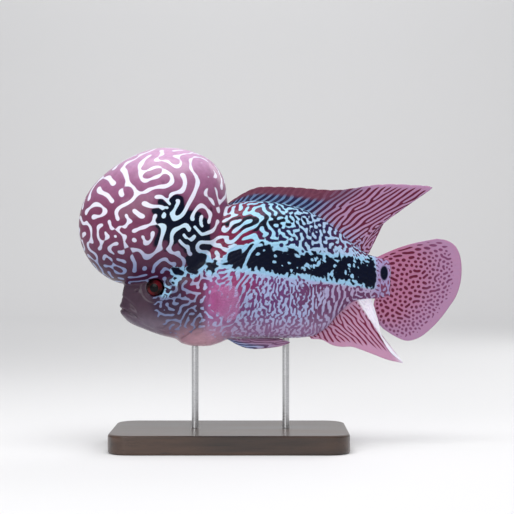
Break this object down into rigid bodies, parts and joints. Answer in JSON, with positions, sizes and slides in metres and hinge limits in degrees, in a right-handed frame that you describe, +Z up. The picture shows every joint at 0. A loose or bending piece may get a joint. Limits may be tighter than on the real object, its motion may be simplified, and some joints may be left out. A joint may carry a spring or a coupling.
{
  "type": "flowerhorn cichlid model",
  "caption": "Life-size model of a swimming flowerhorn cichlid with a large rounded forehead hump, spread fins and dark flank marks, held by two thin rods over a flat wooden base.",
  "frame": {"origin": "middle of the object's bounding box in plan, on the plane the stand rests on", "axes": "+Z is up, the head points to -X and the tail to +X, and the left flank faces -Y"},
  "size_m": [0.2872, 0.1012, 0.2244],
  "materials": {
    "hump_skin": "smooth wet skin, deep rose with fine pale lines",
    "scaled_skin": "small glossy scales, rose and mauve with pale blue lines and a ragged black band",
    "face_skin": "smooth wet skin, greyish mauve",
    "fin_skin": "thin ribbed fin skin, lavender pink with dark red marks",
    "clear_fin": "thin see-through fin skin, pale pink",
    "eye_gloss": "polished, dark red iris round a black pupil",
    "dark_wood": "satin lacquer over dark wood",
    "rod_steel": "fine brushed steel"
  },
  "bodies": {
    "root": {"nuchal_hump": "hump_skin", "head": "scaled_skin", "upper_jaw": "face_skin", "lower_jaw": "face_skin", "gill_cover_left": "scaled_skin", "gill_cover_right": "scaled_skin", "trunk": "scaled_skin", "tail_stalk": "scaled_skin", "dorsal_fin_spiny": "fin_skin", "dorsal_fin_soft": "fin_skin", "anal_fin": "fin_skin", "tail_fin": "fin_skin", "pectoral_fin_left": "clear_fin", "pectoral_fin_right": "clear_fin", "pelvic_fin_left": "fin_skin", "pelvic_fin_right": "fin_skin", "eye_left": "eye_gloss", "eye_right": "eye_gloss", "stand_base": "dark_wood", "stand_rod_front": "rod_steel", "stand_rod_rear": "rod_steel"}
  },
  "joints": []
}
